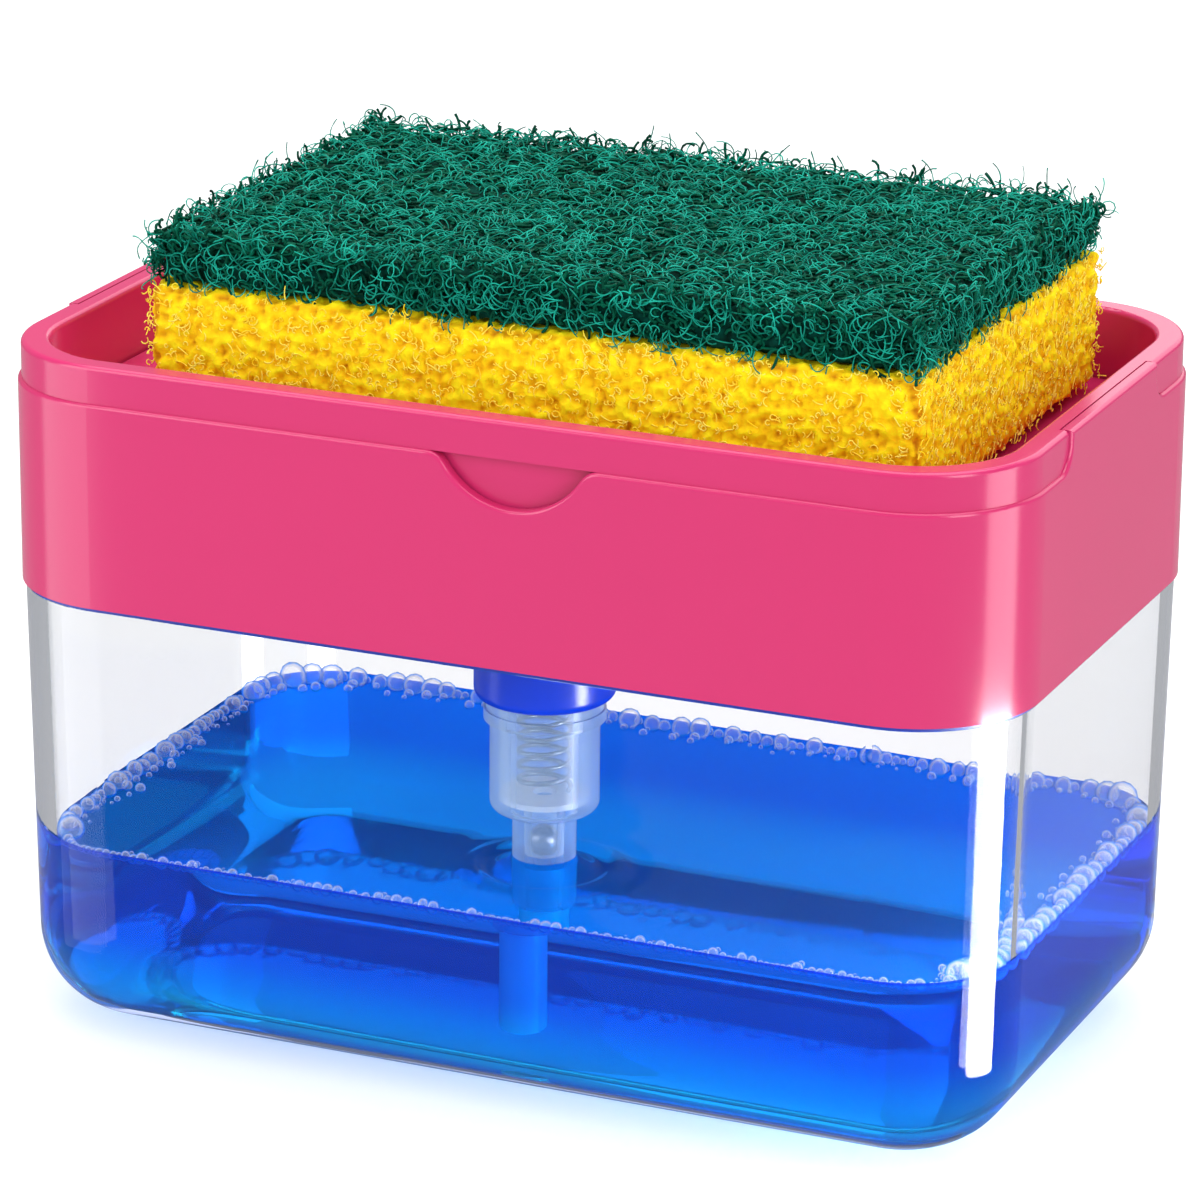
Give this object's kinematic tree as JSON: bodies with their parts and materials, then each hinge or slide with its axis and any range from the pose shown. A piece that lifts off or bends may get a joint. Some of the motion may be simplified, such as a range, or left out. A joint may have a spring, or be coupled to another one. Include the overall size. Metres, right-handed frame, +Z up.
{
  "type": "soap pump caddy",
  "caption": "Clear soap tank with a coloured press-top tray: pushing the sponge down works a sprung pump that lifts liquid soap into the sponge.",
  "frame": {"origin": "middle of the tank's footprint, on the table", "axes": "+X along the length, to the right; -Y is the front with the thumb notch; +Z up"},
  "size_m": [0.147, 0.0902, 0.1153],
  "materials": {
    "pink_plastic": "gloss",
    "clear_plastic": "clear gloss",
    "soap": "liquid",
    "blue_seal": "matt",
    "blue_plastic": "gloss",
    "frosted_plastic": "translucent",
    "white_plastic": "gloss",
    "seal": "matt",
    "steel": "bright",
    "foam": "open cell",
    "scourer": "fibrous"
  },
  "bodies": {
    "base": {"tank": "clear_plastic", "liquid_soap": "soap", "tank_gasket": "blue_seal"},
    "frame": {"top_frame": "pink_plastic", "pump_collar": "blue_plastic", "pump_washer": "seal", "pump_barrel": "frosted_plastic", "barrel_cap": "white_plastic", "spring_seat": "white_plastic", "pump_spring": "steel", "dip_tube": "frosted_plastic"},
    "plunger": {"press_plate": "pink_plastic", "pump_actuator": "white_plastic", "pump_stem": "white_plastic", "pump_piston": "white_plastic"},
    "rim": {"rim_tray": "pink_plastic"},
    "sponge": {"sponge_foam": "foam", "scour_pad": "scourer"},
    "inlet_valve": {"inlet_ball": "steel"},
    "outlet_valve": {"outlet_ball": "steel"}
  },
  "joints": [
    {"name": "top_lift", "type": "slide", "parent": "base", "child": "frame", "axis": [0, 0, 1], "range_m": [0, 0.075]},
    {"name": "plate_press", "type": "slide", "parent": "frame", "child": "plunger", "axis": [0, 0, -1], "range_m": [0, 0.008], "stiffness_N_per_m": 400, "springref_m": -0.015, "deforming": ["pump_spring"]},
    {"name": "rim_lift", "type": "slide", "parent": "frame", "child": "rim", "axis": [0, 0, 1], "range_m": [0, 0.03]},
    {"name": "sponge_lift", "type": "slide", "parent": "plunger", "child": "sponge", "axis": [0, 0, 1], "range_m": [0, 0.06]},
    {"name": "inlet_ball_lift", "type": "slide", "parent": "frame", "child": "inlet_valve", "axis": [0, 0, 1], "range_m": [0, 0.0015]},
    {"name": "outlet_ball_lift", "type": "slide", "parent": "plunger", "child": "outlet_valve", "axis": [0, 0, 1], "range_m": [0, 0.001]}
  ]
}
